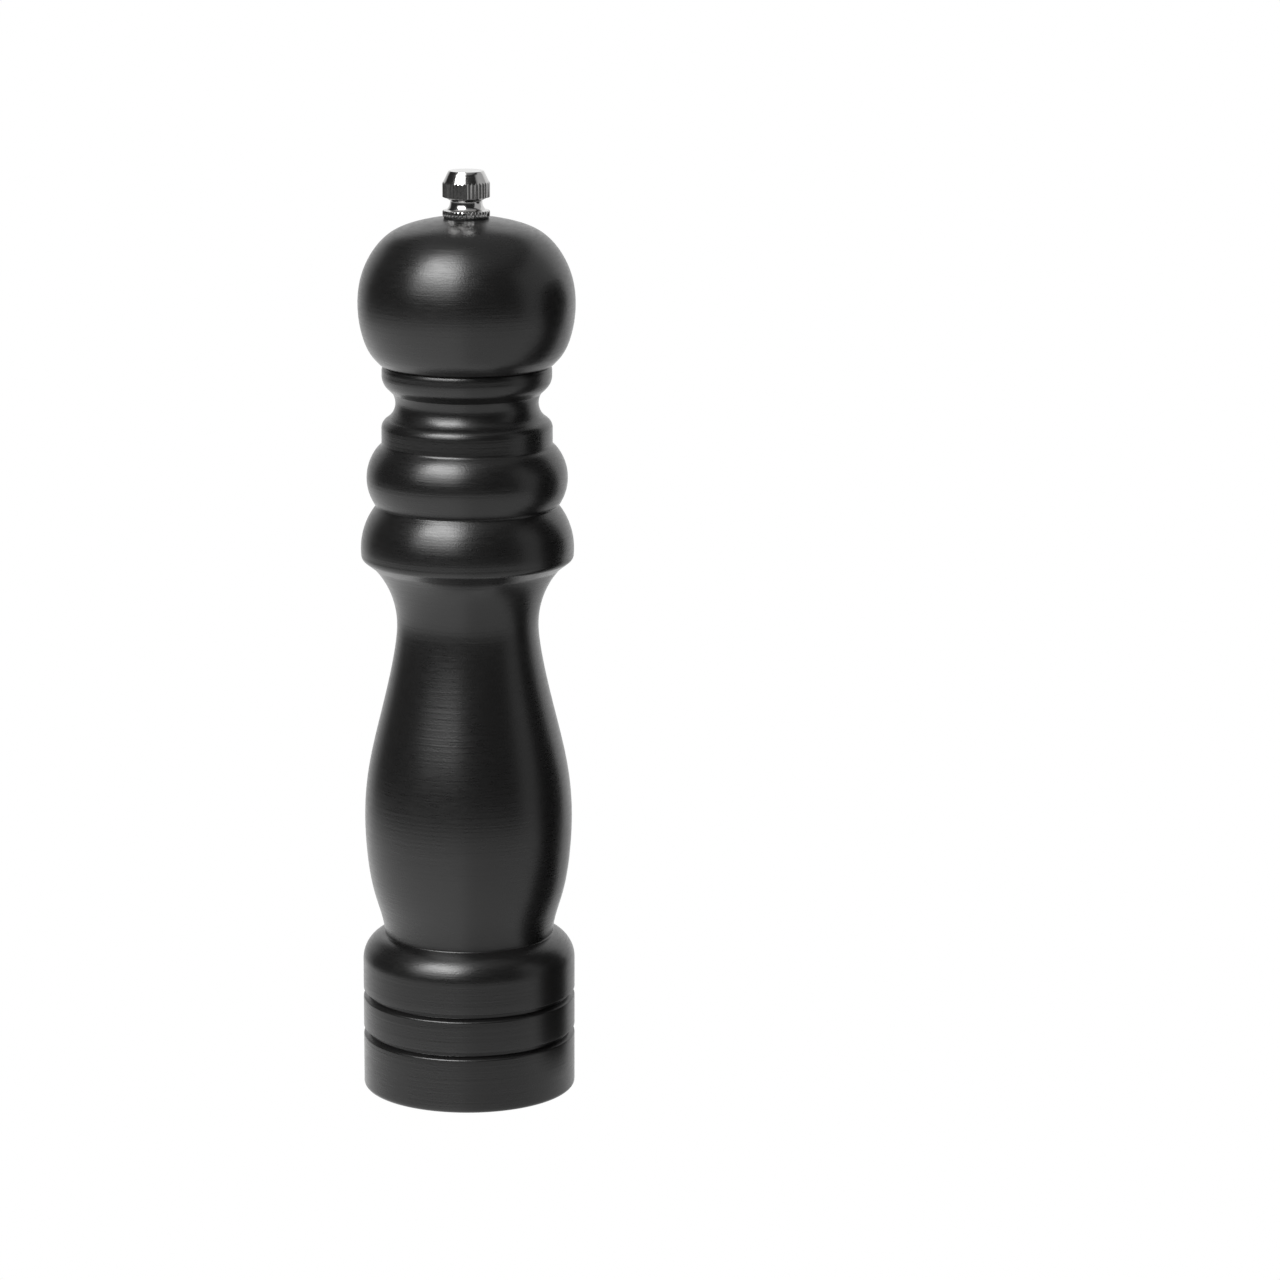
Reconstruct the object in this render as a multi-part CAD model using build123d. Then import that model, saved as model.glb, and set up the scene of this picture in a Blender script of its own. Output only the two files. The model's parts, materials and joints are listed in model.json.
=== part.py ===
from build123d import *
import math
import os

# Pepper mill of turned wood with a ball head and a knurled finial nut.
# Millimetres. The turning axis is +Z and the foot stands on z = 0, with the origin at its centre.
# Every outline is given as (radius, height) points in the plane of the axis, and then turned.

# ---- driving dimensions -------------------------------------------------------------------------
BASE_R = 30.0
SEAM_Z = 207.2
HEAD_TOP_Z = 248.1
HEAD_R = 30.12
NUT_TOP_Z = 261.1
NUT_R = 6.55
CHAMBER_R = 14.0
SHAFT_SIDE = 6.0
THREAD_R = 2.5
RECESS_R = 22.0
RECESS_DEPTH = 10.0
BARREL_BORE_R = 16.1
STATOR_H = 14.0

# ---- clearances ---------------------------------------------------------------------------------
TENON_GAP = 0.3
RUNNING_GAP = 0.05
THREAD_GAP = 0.06
SQUARE_GAP = 0.1
SLIP_GAP = 0.1
BURR_GAP = 0.35

# ---- body outline -------------------------------------------------------------------------------
BASE_EDGE_R = 1.3
GROOVE_TOPS = (28.7, 17.7)
GROOVE_H = 2.2
GROOVE_DEPTH = 1.5
GROOVE_WALL_H = 1.4
GROOVE_EDGE_R = 0.3
GROOVE_LIP_R = 0.45
SHOULDER_Z = 37.2
SHOULDER_R = 8.0
SHOULDER_MID_DEG = 40.0
QUIRK = (23.75, 45.0)
VASE = (
    (24.45, 49.0),
    (26.55, 56.2),
    (28.80, 70.0),
    (29.18, 80.0),
    (28.30, 91.0),
    (24.41, 108.9),
    (21.60, 121.0),
    (20.20, 129.0),
)
WAIST = (19.80, 134.0)
FLARE_R = 24.2
FLARE_RISE = 16.4
COLLAR_LIP = (28.9, 152.45)
COLLAR_LIP_MID = (29.5, 153.2)
COLLAR_LIP_TOP_Z = 154.1
COLLAR_ARC_R = 19.0
COLLAR_MAX = (29.74, 155.7)
BEAD_ARC_R = 13.0
BEAD_CENTRE = (15.0, 175.65)
BEAD_NECK_Z = 168.35
BEAD_SHOULDER_DEG = 35.0
BEAD_SHOULDER_R = 9.0
COLLAR_TOP_Z = 167.8
BAND_R = 23.78
BAND_EDGE_R = 2.9
COVE_LOW = (22.2, 192.3)
COVE_MID = (19.90, 196.3)
COVE_HIGH = (20.66, 199.5)
RING_R = 23.63
RING_LOW = (22.0, 200.8)
RING_LOW_MID = (23.3, 202.1)
RING_FLAT_Z = 204.2
RING_EDGE_R = 1.7
QUIRK_FILLET = 0.5
NECK_FILLET = 0.35
CREASE_FILLET = 0.8
MOUTH_EDGE_R = 0.8
RECESS_EDGE_R = 0.5

# ---- head ---------------------------------------------------------------------------------------
HEAD_FLAT_R = 7.0
BALL = (
    (13.3, 246.95),
    (20.8, 244.0),
    (26.5, 237.9),
    (29.6, 230.0),
    (HEAD_R, 224.0),
    (29.04, 216.1),
    (26.2, 209.9),
)
HEAD_RIM_R = 23.7
HEAD_EDGE_R = 2.5
TENON_H = 12.0
TENON_EDGE_R = 0.6
HEAD_BORE_R = 4.4
HEAD_BUSH_H = 8.0
HEAD_BUSH_BORE_R = 2.8

# ---- nut ----------------------------------------------------------------------------------------
WASHER_T = 0.5
WASHER_R = 6.2
NUT_FACE_R = 4.9
NUT_CONE_Z = 257.7
NUT_KNURL_LOW_Z = 253.95
NUT_WAIST_R = 4.5
NUT_WAIST_Z = (252.4, 252.9)
NUT_WAIST_ARC_R = 2.5
NUT_WAIST_ARC_DEG = 50.0
NUT_FLANGE_Z = 250.2
NUT_UNDERCUT = (5.6, 253.5)
NUT_BORE_DEPTH = 10.0
KNURL_TEETH = 36
KNURL_DEPTH = 0.35

# ---- shaft --------------------------------------------------------------------------------------
SHAFT_LOW_Z = 6.0
SHAFT_THREAD_LOW_Z = 235.6
SHAFT_TOP_Z = 257.6
SHAFT_EDGE = 0.6
THREAD_CHAMFER = 0.5

# ---- drive plate --------------------------------------------------------------------------------
DRIVE_PLATE_R = 13.0
DRIVE_PLATE_T = 1.5
DRIVE_SCREW_PITCH_R = 9.0
DRIVE_SCREW_LENGTH = 12.0

# ---- grinding mechanism -------------------------------------------------------------------------
BASE_PLATE_T = 1.0
BASE_PLATE_BORE_R = 13.4
FLANGE_T = 2.6
FLANGE_R = 21.7
BARREL_R = 16.0
BARREL_WALL = 1.3
BARREL_TOP_Z = 38.0
BRIDGE_T = 2.0
BRIDGE_BOSS_R = 8.0
BRIDGE_BOSS_H = 4.0
BRIDGE_BAR_W = 5.0
BUSH_R = 5.0
BUSH_FLANGE_R = 7.4
BUSH_FLANGE_T = 1.2
BUSH_TOP_Z = 41.6
CLIP_T = 0.6
CLIP_GROOVE_DEPTH = 0.4
CLIP_OVERHANG = 0.9
CLIP_GAP_W = 4.0
THRUST_WASHER_T = 0.6
STATOR_R = 14.6
STATOR_MOUTH_R = 11.5
STATOR_THROAT_R = 11.2
FINE_LOW_R = 13.1
FINE_LOW_Z = 7.9
FINE_HIGH_Z = 12.1
STATOR_GROOVES = 12
STATOR_GROOVE_SIDE = 1.6
ROTOR_LOW_Z = 7.0
ROTOR_TOP_Z = 24.0
ROTOR_TOP_R = 6.2
ROTOR_STEP = (9.6, 13.2)
ROTOR_FLUTES = 8
FLUTE_W = 2.0
FLUTE_DEPTH = 0.4
CARRIER_FLANGE_R = 8.5
CARRIER_FLANGE_T = 1.4
CARRIER_HEX_R = 6.0
CARRIER_TOP_Z = 16.0
ROTOR_WASHER_T = 0.8
ROTOR_WASHER_R = 5.0
SCREW_HEAD_R = 3.6
SCREW_HEAD_H = 2.2
ROTOR_SCREW_R = 2.0
ROTOR_SCREW_LENGTH = 12.0
ROTOR_SCREW_EDGE_R = 0.8
ROTOR_SCREW_RECESS = (4.0, 0.9, 1.3)
SPRING_WIRE_R = 0.55
SPRING_MEAN_R = 5.25
SPRING_TURNS = 4.5
CUP_T = 0.6
CUP_RIM_H = 1.2
CUP_R = 6.4
CUP_RIM_T = 0.5
WOOD_SCREW_R = 1.4
WOOD_SCREW_HEAD_R = 2.8
HOUSING_SCREW_PITCH_R = 18.4
HOUSING_SCREW_COUNT = 3
HOUSING_SCREW_LENGTH = 14.0
HOUSING_SCREW_RECESS = (2.8, 0.7, 0.5)

# ---- heights that follow ------------------------------------------------------------------------
NUT_LOW_Z = HEAD_TOP_Z + WASHER_T
TENON_R = CHAMBER_R - TENON_GAP
TENON_LOW_Z = SEAM_Z - TENON_H
DRIVE_PLATE_LOW_Z = TENON_LOW_Z - DRIVE_PLATE_T
FLANGE_LOW_Z = RECESS_DEPTH - FLANGE_T
BASE_PLATE_LOW_Z = FLANGE_LOW_Z - BASE_PLATE_T
BRIDGE_TOP_Z = BARREL_TOP_Z + BRIDGE_T
BRIDGE_BOSS_LOW_Z = BRIDGE_TOP_Z - BRIDGE_BOSS_H
BUSH_FLANGE_TOP_Z = BRIDGE_BOSS_LOW_Z - THRUST_WASHER_T
SPRING_TOP_Z = BUSH_FLANGE_TOP_Z - BUSH_FLANGE_T
SPRING_LOW_Z = ROTOR_TOP_Z + CUP_T
STATOR_LOW_Z = FLANGE_LOW_Z
STATOR_TOP_Z = STATOR_LOW_Z + STATOR_H
CARRIER_LOW_Z = ROTOR_LOW_Z - CARRIER_FLANGE_T
ROTOR_WASHER_LOW_Z = CARRIER_LOW_Z - ROTOR_WASHER_T


# ---- helpers ------------------------------------------------------------------------------------
def point(radius_height):
    """A (radius, height) pair as a point in the plane of the axis."""
    return Vector(radius_height[0], 0, radius_height[1])


def line(start, end):
    return Line(point(start), point(end))


def arc(start, middle, end):
    return ThreePointArc(point(start), point(middle), point(end))


def turned(edges):
    """Turn a closed outline of lines and curves about the axis."""
    return revolve(make_face(edges), Axis.Z)


def turned_polygon(corners):
    """Turn a closed outline of straight runs about the axis."""
    closed = corners + [corners[0]]
    return turned([line(start, end) for start, end in zip(closed, closed[1:])])


def ring(outer_r, inner_r, low_z, high_z):
    """A plain ring or washer between two heights."""
    return turned_polygon([(inner_r, low_z), (outer_r, low_z), (outer_r, high_z), (inner_r, high_z)])


def disc(radius, low_z, high_z):
    return Pos(0, 0, low_z) * extrude(Circle(radius), high_z - low_z)


def square_bar(side, low_z, high_z, corner=0.0):
    """A square bar on the axis, with rounded long edges if corner is given."""
    section = RectangleRounded(side, side, corner) if corner else Rectangle(side, side)
    return Pos(0, 0, low_z) * extrude(section, high_z - low_z)


def rounded(solid, radius, edge_r, edge_z, reach=0.05):
    """Round the turned edge that lies at one radius and height."""
    found = [
        edge
        for edge in solid.edges().filter_by(GeomType.CIRCLE)
        if abs(edge.radius - edge_r) < reach and abs(edge.center().Z - edge_z) < reach
    ]
    return fillet(found, radius)


def around(count, radius, start_angle=0.0):
    """Evenly spaced places on a circle about the axis."""
    return PolarLocations(radius, count, start_angle)


def circle_radius_at(centre, arc_r, height):
    """Radius where a turned arc about a centre reaches a height."""
    return centre[0] + math.sqrt(arc_r**2 - (height - centre[1]) ** 2)


def on_circle(centre, arc_r, angle_deg):
    """Point of a turned arc about a centre, at an angle above the horizontal."""
    angle = math.radians(angle_deg)
    return centre[0] + arc_r * math.cos(angle), centre[1] + arc_r * math.sin(angle)


def cross_recess(length, width, depth):
    """The cross for a screwdriver, cut upwards from z = 0."""
    return Box(length, width, 2 * depth) + Box(width, length, 2 * depth)


def countersunk_screw(shank_r, head_r, length):
    """A wood screw that points up from z = 0, with a flat head, a cross recess and a pointed tip."""
    head_h = head_r - shank_r
    tip_h = 2 * shank_r
    outline = [
        (0, 0),
        (head_r, 0),
        (shank_r, head_h),
        (shank_r, length - tip_h),
        (0, length),
    ]
    return turned_polygon(outline) - cross_recess(head_r, 0.25 * head_r, 0.75 * head_h)


def countersink(shank_r, head_r, length):
    """The hole that takes such a screw, pointing up from z = 0."""
    wider = shank_r + SLIP_GAP
    head_h = head_r - shank_r
    outline = [
        (0, 0),
        (head_r + SLIP_GAP, 0),
        (wider, head_h),
        (wider, length + SLIP_GAP),
        (0, length + SLIP_GAP),
    ]
    return turned_polygon(outline)


# ---- wooden body --------------------------------------------------------------------------------
def body_blank():
    """The turned outside of the body, still solid."""
    collar_centre = (COLLAR_MAX[0] - COLLAR_ARC_R, COLLAR_MAX[1])
    flare_centre = (WAIST[0] + FLARE_R, WAIST[1])
    shoulder_centre_r = BASE_R - SHOULDER_R
    shoulder_mid = on_circle((shoulder_centre_r, SHOULDER_Z), SHOULDER_R, SHOULDER_MID_DEG)
    flare_end = (
        flare_centre[0] - math.sqrt(FLARE_R**2 - FLARE_RISE**2),
        WAIST[1] + FLARE_RISE,
    )
    flare_mid = (
        flare_centre[0] - math.sqrt(FLARE_R**2 - (FLARE_RISE / 2) ** 2),
        WAIST[1] + FLARE_RISE / 2,
    )
    lip_top = (circle_radius_at(collar_centre, COLLAR_ARC_R, COLLAR_LIP_TOP_Z), COLLAR_LIP_TOP_Z)
    collar_mid_z = (COLLAR_LIP_TOP_Z + COLLAR_TOP_Z) / 2
    collar_mid = (circle_radius_at(collar_centre, COLLAR_ARC_R, collar_mid_z), collar_mid_z)
    collar_top = (circle_radius_at(collar_centre, COLLAR_ARC_R, COLLAR_TOP_Z), COLLAR_TOP_Z)
    neck_top = (collar_top[0], BEAD_NECK_Z)
    bead_low = (circle_radius_at(BEAD_CENTRE, BEAD_ARC_R, BEAD_NECK_Z), BEAD_NECK_Z)
    bead_mid = (BEAD_CENTRE[0] + BEAD_ARC_R, BEAD_CENTRE[1])
    bead_shoulder = on_circle(BEAD_CENTRE, BEAD_ARC_R, BEAD_SHOULDER_DEG)
    top_centre = on_circle(BEAD_CENTRE, BEAD_ARC_R - BEAD_SHOULDER_R, BEAD_SHOULDER_DEG)
    bead_top_deg = math.degrees(math.acos((BAND_R - top_centre[0]) / BEAD_SHOULDER_R))
    bead_top_mid = on_circle(top_centre, BEAD_SHOULDER_R, (BEAD_SHOULDER_DEG + bead_top_deg) / 2)
    bead_top = on_circle(top_centre, BEAD_SHOULDER_R, bead_top_deg)
    vase = Spline(
        point(QUIRK),
        *[point(corner) for corner in VASE],
        point(WAIST),
        tangents=[Vector(0.13, 0, 1), Vector(0, 0, 1)],
    )
    cove = arc(COVE_LOW, COVE_MID, COVE_HIGH)
    cove_slope = (cove % 0).Z / (cove % 0).X
    band_top = (BAND_R, COVE_LOW[1] + cove_slope * (BAND_R - COVE_LOW[0]))
    outline = [
        line((0, 0), (BASE_R, 0)),
        line((BASE_R, 0), (BASE_R, SHOULDER_Z)),
        arc((BASE_R, SHOULDER_Z), shoulder_mid, QUIRK),
        vase,
        arc(WAIST, flare_mid, flare_end),
        line(flare_end, COLLAR_LIP),
        arc(COLLAR_LIP, COLLAR_LIP_MID, lip_top),
        arc(lip_top, collar_mid, collar_top),
        line(collar_top, neck_top),
        line(neck_top, bead_low),
        arc(bead_low, bead_mid, bead_shoulder),
        arc(bead_shoulder, bead_top_mid, bead_top),
        line(bead_top, band_top),
        line(band_top, COVE_LOW),
        cove,
        line(COVE_HIGH, RING_LOW),
        arc(RING_LOW, RING_LOW_MID, (RING_R, RING_FLAT_Z)),
        line((RING_R, RING_FLAT_Z), (RING_R, SEAM_Z)),
        line((RING_R, SEAM_Z), (0, SEAM_Z)),
        line((0, SEAM_Z), (0, 0)),
    ]
    blank = turned(outline)
    blank = rounded(blank, QUIRK_FILLET, *QUIRK)
    blank = rounded(blank, NECK_FILLET, *collar_top)
    blank = rounded(blank, CREASE_FILLET, *bead_top)
    blank = rounded(blank, BAND_EDGE_R, *band_top)
    blank = rounded(blank, RING_EDGE_R, RING_R, SEAM_Z)
    return rounded(blank, BASE_EDGE_R, BASE_R, 0)


def base_groove(top_z):
    """The cutter of one decorative groove: a square upper edge, a wall and a sloping lower side."""
    deep = BASE_R - GROOVE_DEPTH
    beyond = BASE_R + 1.0
    slope = GROOVE_DEPTH / (GROOVE_H - GROOVE_WALL_H)
    outline = [
        (deep, top_z),
        (beyond, top_z),
        (beyond, top_z - GROOVE_H - 1.0 / slope),
        (deep, top_z - GROOVE_WALL_H),
    ]
    return turned_polygon(outline)


def make_body():
    body = body_blank()
    for top_z in GROOVE_TOPS:
        body -= base_groove(top_z)
        body = rounded(body, GROOVE_EDGE_R, BASE_R, top_z)
        body = rounded(body, GROOVE_LIP_R, BASE_R, top_z - GROOVE_H)
    body -= disc(CHAMBER_R, BRIDGE_TOP_Z, SEAM_Z)
    body -= disc(BARREL_BORE_R, RECESS_DEPTH, BRIDGE_TOP_Z)
    body -= disc(RECESS_R, 0, RECESS_DEPTH)
    body = rounded(body, MOUTH_EDGE_R, CHAMBER_R, SEAM_Z)
    body = rounded(body, RECESS_EDGE_R, RECESS_R, 0)
    pilot_r = WOOD_SCREW_R + SLIP_GAP
    pilot_h = HOUSING_SCREW_LENGTH - (RECESS_DEPTH - BASE_PLATE_LOW_Z) + SLIP_GAP
    for place in around(HOUSING_SCREW_COUNT, HOUSING_SCREW_PITCH_R, 90):
        body -= place * disc(pilot_r, RECESS_DEPTH, RECESS_DEPTH + pilot_h)
    return body


# ---- wooden head --------------------------------------------------------------------------------
def make_head():
    rim = (HEAD_RIM_R, SEAM_Z)
    ball = Spline(
        point((HEAD_FLAT_R, HEAD_TOP_Z)),
        *[point(corner) for corner in BALL],
        point(rim),
        tangents=[Vector(1, 0, -0.1), Vector(-1, 0, -1.1)],
    )
    outline = [
        line((0, HEAD_TOP_Z), (HEAD_FLAT_R, HEAD_TOP_Z)),
        ball,
        line(rim, (TENON_R, SEAM_Z)),
        line((TENON_R, SEAM_Z), (TENON_R, TENON_LOW_Z)),
        line((TENON_R, TENON_LOW_Z), (0, TENON_LOW_Z)),
        line((0, TENON_LOW_Z), (0, HEAD_TOP_Z)),
    ]
    head = turned(outline)
    head = rounded(head, HEAD_EDGE_R, *rim)
    head = rounded(head, TENON_EDGE_R, TENON_R, TENON_LOW_Z)
    head -= disc(HEAD_BORE_R, TENON_LOW_Z, HEAD_TOP_Z)
    pilot_r = WOOD_SCREW_R + SLIP_GAP
    pilot_top_z = DRIVE_PLATE_LOW_Z + DRIVE_SCREW_LENGTH + SLIP_GAP
    for place in around(2, DRIVE_SCREW_PITCH_R):
        head -= place * disc(pilot_r, TENON_LOW_Z, pilot_top_z)
    return head


def make_head_bush():
    """Brass sleeve in the top of the head, which guides the threaded end of the shaft."""
    return ring(HEAD_BORE_R, HEAD_BUSH_BORE_R, HEAD_TOP_Z - HEAD_BUSH_H, HEAD_TOP_Z)


# ---- drive plate --------------------------------------------------------------------------------
def make_drive_plate():
    """Steel plate under the tenon, whose square hole turns the shaft."""
    plate = disc(DRIVE_PLATE_R, DRIVE_PLATE_LOW_Z, TENON_LOW_Z)
    side = SHAFT_SIDE + 2 * SQUARE_GAP
    plate -= square_bar(side, DRIVE_PLATE_LOW_Z, TENON_LOW_Z)
    for place in around(2, DRIVE_SCREW_PITCH_R):
        sink = Pos(0, 0, DRIVE_PLATE_LOW_Z) * countersink(WOOD_SCREW_R, WOOD_SCREW_HEAD_R, DRIVE_PLATE_T)
        plate -= place * sink
    return plate


def make_drive_plate_screws():
    screw = Pos(0, 0, DRIVE_PLATE_LOW_Z) * countersunk_screw(
        WOOD_SCREW_R, WOOD_SCREW_HEAD_R, DRIVE_SCREW_LENGTH
    )
    return Compound([(place * screw).solid() for place in around(2, DRIVE_SCREW_PITCH_R)])


# ---- finial nut ---------------------------------------------------------------------------------
def knurl_section():
    """Star outline of the straight knurl: ridges at the nut's radius, and valleys between them."""
    corners = []
    for tooth in range(KNURL_TEETH):
        ridge = 2 * math.pi * tooth / KNURL_TEETH
        half_ridge = 0.25 * math.pi / KNURL_TEETH
        valley = ridge + math.pi / KNURL_TEETH
        for angle, radius in (
            (ridge - half_ridge, NUT_R),
            (ridge + half_ridge, NUT_R),
            (valley, NUT_R - KNURL_DEPTH),
        ):
            corners.append((radius * math.cos(angle), radius * math.sin(angle)))
    return make_face(Polyline(*corners, close=True))


def make_finial_nut():
    flange_top = (NUT_R, NUT_FLANGE_Z)
    knurl_low = (NUT_R, NUT_KNURL_LOW_Z)
    waist_low, waist_high = ((NUT_WAIST_R, z) for z in NUT_WAIST_Z)
    waist_centre = (NUT_WAIST_R + NUT_WAIST_ARC_R, NUT_WAIST_Z[0])
    flange_inner = on_circle(waist_centre, NUT_WAIST_ARC_R, 180 + NUT_WAIST_ARC_DEG)
    waist_mid = on_circle(waist_centre, NUT_WAIST_ARC_R, 180 + NUT_WAIST_ARC_DEG / 2)
    outline = [
        line((0, NUT_LOW_Z), (NUT_R, NUT_LOW_Z)),
        line((NUT_R, NUT_LOW_Z), flange_top),
        line(flange_top, flange_inner),
        arc(flange_inner, waist_mid, waist_low),
        line(waist_low, waist_high),
        line(waist_high, NUT_UNDERCUT),
        line(NUT_UNDERCUT, knurl_low),
        line(knurl_low, (NUT_R, NUT_CONE_Z)),
        line((NUT_R, NUT_CONE_Z), (NUT_FACE_R, NUT_TOP_Z)),
        line((NUT_FACE_R, NUT_TOP_Z), (0, NUT_TOP_Z)),
        line((0, NUT_TOP_Z), (0, NUT_LOW_Z)),
    ]
    knurled = Pos(0, 0, NUT_LOW_Z) * extrude(knurl_section(), NUT_TOP_Z - NUT_LOW_Z)
    nut = turned(outline) & knurled
    return nut - disc(THREAD_R + THREAD_GAP, NUT_LOW_Z, NUT_LOW_Z + NUT_BORE_DEPTH)


def make_nut_washer():
    """Thin black washer that stays with the nut and keeps it off the lacquer."""
    return ring(WASHER_R, HEAD_BUSH_BORE_R, HEAD_TOP_Z, NUT_LOW_Z)


# ---- shaft --------------------------------------------------------------------------------------
def make_shaft():
    """Square rod, turned down at the top for the thread and tapped at the foot for the screw."""
    rod = square_bar(SHAFT_SIDE, SHAFT_LOW_Z, SHAFT_THREAD_LOW_Z, SHAFT_EDGE)
    end = disc(THREAD_R, SHAFT_THREAD_LOW_Z, SHAFT_TOP_Z)
    end = chamfer(end.faces().sort_by(Axis.Z)[-1].edges(), THREAD_CHAMFER)
    hole_r = ROTOR_SCREW_R + THREAD_GAP
    return rod + end - disc(hole_r, SHAFT_LOW_Z, SHAFT_LOW_Z + ROTOR_SCREW_LENGTH)


# ---- housing, bridge and plate, fixed to the body -----------------------------------------------
def make_mechanism_housing():
    """Moulded flange and barrel, with a funnel down to the mouth of the stator."""
    bore_r = BARREL_R - BARREL_WALL
    funnel_top_z = STATOR_TOP_Z + (bore_r - STATOR_MOUTH_R)
    stator_bore_r = STATOR_R + RUNNING_GAP
    outline = [
        (stator_bore_r, FLANGE_LOW_Z),
        (FLANGE_R, FLANGE_LOW_Z),
        (FLANGE_R, RECESS_DEPTH),
        (BARREL_R, RECESS_DEPTH),
        (BARREL_R, BARREL_TOP_Z),
        (bore_r, BARREL_TOP_Z),
        (bore_r, funnel_top_z),
        (STATOR_MOUTH_R, STATOR_TOP_Z),
        (stator_bore_r, STATOR_TOP_Z),
    ]
    housing = turned_polygon(outline)
    hole_r = WOOD_SCREW_R + SLIP_GAP
    for place in around(HOUSING_SCREW_COUNT, HOUSING_SCREW_PITCH_R, 90):
        housing -= place * disc(hole_r, FLANGE_LOW_Z, RECESS_DEPTH)
    return housing


def make_bridge():
    """Ring and bar across the barrel, whose boss is the bearing of the shaft bush."""
    rim = ring(BARREL_R, BARREL_R - BARREL_WALL, BARREL_TOP_Z, BRIDGE_TOP_Z)
    bar = Pos(0, 0, BARREL_TOP_Z + BRIDGE_T / 2) * Box(2 * BARREL_R, BRIDGE_BAR_W, BRIDGE_T)
    bar &= disc(BARREL_R, BARREL_TOP_Z, BRIDGE_TOP_Z)
    boss = disc(BRIDGE_BOSS_R, BRIDGE_BOSS_LOW_Z, BRIDGE_TOP_Z)
    return rim + bar + boss - disc(BUSH_R + RUNNING_GAP, BRIDGE_BOSS_LOW_Z, BRIDGE_TOP_Z)


def make_base_plate():
    """Steel ring over the flange, which keeps the stator up in the housing."""
    plate = ring(FLANGE_R, BASE_PLATE_BORE_R, BASE_PLATE_LOW_Z, FLANGE_LOW_Z)
    for place in around(HOUSING_SCREW_COUNT, HOUSING_SCREW_PITCH_R, 90):
        plate -= place * disc(WOOD_SCREW_HEAD_R, BASE_PLATE_LOW_Z, FLANGE_LOW_Z)
    return plate


def make_housing_screws():
    """Pan-head wood screws through the plate's holes and the flange into the wood."""
    outline = [
        (0, BASE_PLATE_LOW_Z),
        (WOOD_SCREW_HEAD_R - SLIP_GAP, BASE_PLATE_LOW_Z),
        (WOOD_SCREW_HEAD_R - SLIP_GAP, FLANGE_LOW_Z),
        (WOOD_SCREW_R, FLANGE_LOW_Z),
        (WOOD_SCREW_R, BASE_PLATE_LOW_Z + HOUSING_SCREW_LENGTH - 2 * WOOD_SCREW_R),
        (0, BASE_PLATE_LOW_Z + HOUSING_SCREW_LENGTH),
    ]
    recess = cross_recess(*HOUSING_SCREW_RECESS)
    screw = turned_polygon(outline) - Pos(0, 0, BASE_PLATE_LOW_Z) * recess
    places = around(HOUSING_SCREW_COUNT, HOUSING_SCREW_PITCH_R, 90)
    return Compound([(place * screw).solid() for place in places])


def make_stator_burr():
    """Ceramic ring: a wide mouth, a throat, and a fine cone that widens downwards."""
    outline = [
        (FINE_LOW_R, STATOR_LOW_Z),
        (STATOR_R, STATOR_LOW_Z),
        (STATOR_R, STATOR_TOP_Z),
        (STATOR_MOUTH_R, STATOR_TOP_Z),
        (STATOR_THROAT_R, FINE_HIGH_Z),
        (FINE_LOW_R, FINE_LOW_Z),
    ]
    burr = turned_polygon(outline)
    groove_h = STATOR_TOP_Z - FINE_HIGH_Z
    groove = Pos(0, 0, FINE_HIGH_Z + groove_h / 2) * Rot(0, 0, 45)
    groove *= Box(STATOR_GROOVE_SIDE, STATOR_GROOVE_SIDE, groove_h)
    for place in around(STATOR_GROOVES, STATOR_THROAT_R + 0.2):
        burr -= place * groove
    return burr


# ---- rotor, carried by the shaft ----------------------------------------------------------------
def make_rotor_burr():
    """Ceramic cone with a few steep flutes above and a fine cone below, on a six-sided carrier."""
    fine_high_r = STATOR_THROAT_R - BURR_GAP
    fine_low_r = FINE_LOW_R - BURR_GAP
    outline = [
        (0, ROTOR_LOW_Z),
        (fine_low_r, ROTOR_LOW_Z),
        (fine_low_r, FINE_LOW_Z),
        (fine_high_r, FINE_HIGH_Z),
        ROTOR_STEP,
        (ROTOR_TOP_R, ROTOR_TOP_Z),
        (0, ROTOR_TOP_Z),
    ]
    rotor = turned_polygon(outline)
    rise = ROTOR_TOP_Z - ROTOR_STEP[1]
    run = ROTOR_STEP[0] - ROTOR_TOP_R
    slope = math.degrees(math.atan2(run, rise))
    flute = Pos(0, 0, ROTOR_STEP[1] + rise / 2) * Rot(0, -slope, 0) * Box(1.8, FLUTE_W, 2 * rise)
    flute_zone = ring(fine_low_r, ROTOR_TOP_R - 1.2, ROTOR_STEP[1], ROTOR_TOP_Z)
    for place in around(ROTOR_FLUTES, (ROTOR_STEP[0] + ROTOR_TOP_R) / 2 + FLUTE_DEPTH):
        rotor -= place * flute & flute_zone
    hex_section = RegularPolygon(CARRIER_HEX_R + RUNNING_GAP, 6)
    rotor -= Pos(0, 0, ROTOR_LOW_Z) * extrude(hex_section, CARRIER_TOP_Z - ROTOR_LOW_Z)
    return rotor - disc(HEAD_BORE_R, CARRIER_TOP_Z, ROTOR_TOP_Z)


def make_rotor_carrier():
    """Nylon core that joins the ceramic rotor to the square shaft."""
    carrier = disc(CARRIER_FLANGE_R, CARRIER_LOW_Z, ROTOR_LOW_Z)
    hex_h = CARRIER_TOP_Z - ROTOR_LOW_Z
    carrier += Pos(0, 0, ROTOR_LOW_Z) * extrude(RegularPolygon(CARRIER_HEX_R, 6), hex_h)
    side = SHAFT_SIDE + SQUARE_GAP
    return carrier - square_bar(side, CARRIER_LOW_Z, CARRIER_TOP_Z, SHAFT_EDGE)


def make_rotor_washer():
    return ring(ROTOR_WASHER_R, ROTOR_SCREW_R + SLIP_GAP, ROTOR_WASHER_LOW_Z, CARRIER_LOW_Z)


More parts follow.
